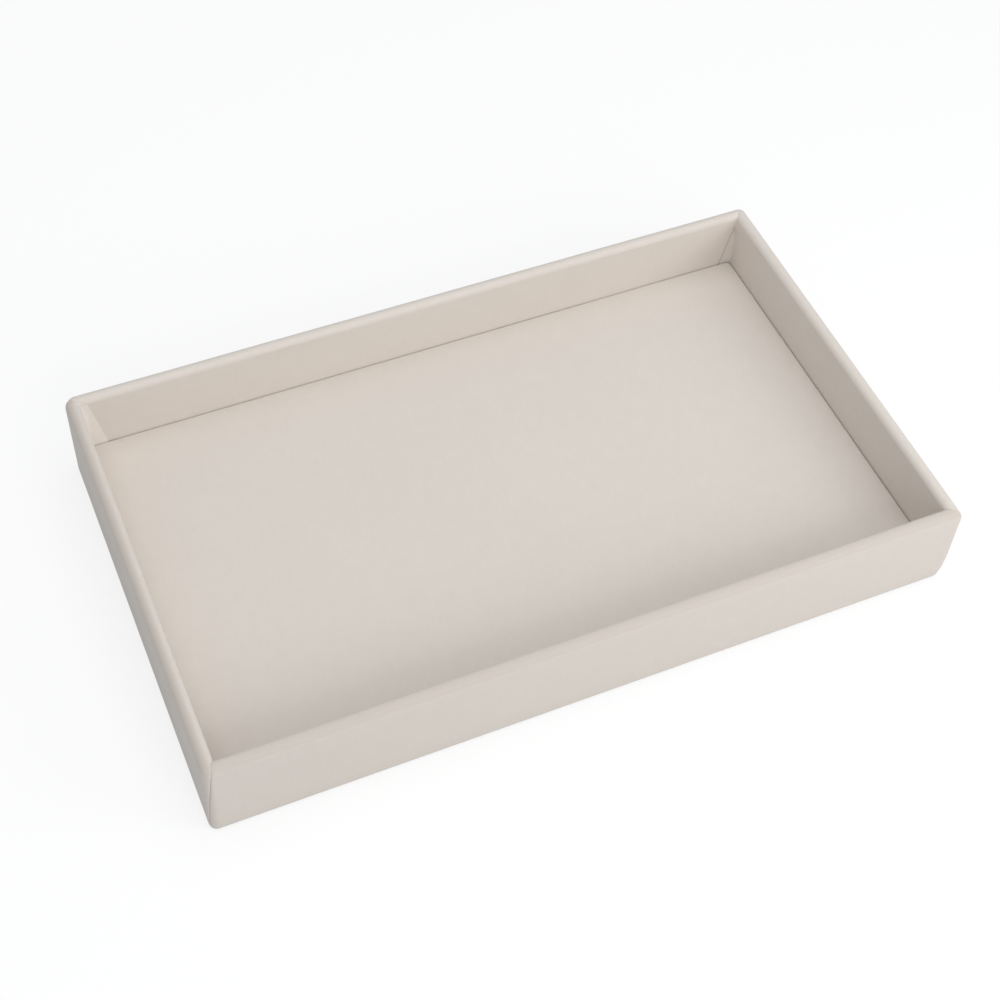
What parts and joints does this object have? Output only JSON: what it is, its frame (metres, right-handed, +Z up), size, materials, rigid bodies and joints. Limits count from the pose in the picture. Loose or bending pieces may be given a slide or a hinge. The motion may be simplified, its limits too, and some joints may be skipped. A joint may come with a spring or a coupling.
{
  "type": "jewelry tray",
  "caption": "Shallow open rectangular tray of boards wrapped in cream pile fabric, with mitred rims and a thin padded floor insert that lifts out, for laying out jewelry.",
  "frame": {"origin": "middle of the underside, on the surface that the tray stands on", "axes": "+X along the long side to the right, +Y to the back, +Z up"},
  "size_m": [0.3, 0.18, 0.04],
  "materials": {
    "cover_fabric": "matte",
    "wall_board": "matte",
    "grey_board": "matte",
    "foam": "matte",
    "lining_felt": "matte",
    "pin_steel": "satin"
  },
  "bodies": {
    "tray": {"base_board": "wall_board", "front_wall_board": "wall_board", "back_wall_board": "wall_board", "left_wall_board": "wall_board", "right_wall_board": "wall_board", "front_wall_cover": "cover_fabric", "back_wall_cover": "cover_fabric", "left_wall_cover": "cover_fabric", "right_wall_cover": "cover_fabric", "corner_pins": "pin_steel", "base_pins": "pin_steel", "underside_lining": "lining_felt"},
    "pad": {"pad_board": "grey_board", "pad_foam": "foam", "pad_cover": "cover_fabric"}
  },
  "joints": [
    {"name": "pad_lift", "type": "slide", "parent": "tray", "child": "pad", "axis": [0, 0, 1], "range_m": [0, 0.05]}
  ]
}
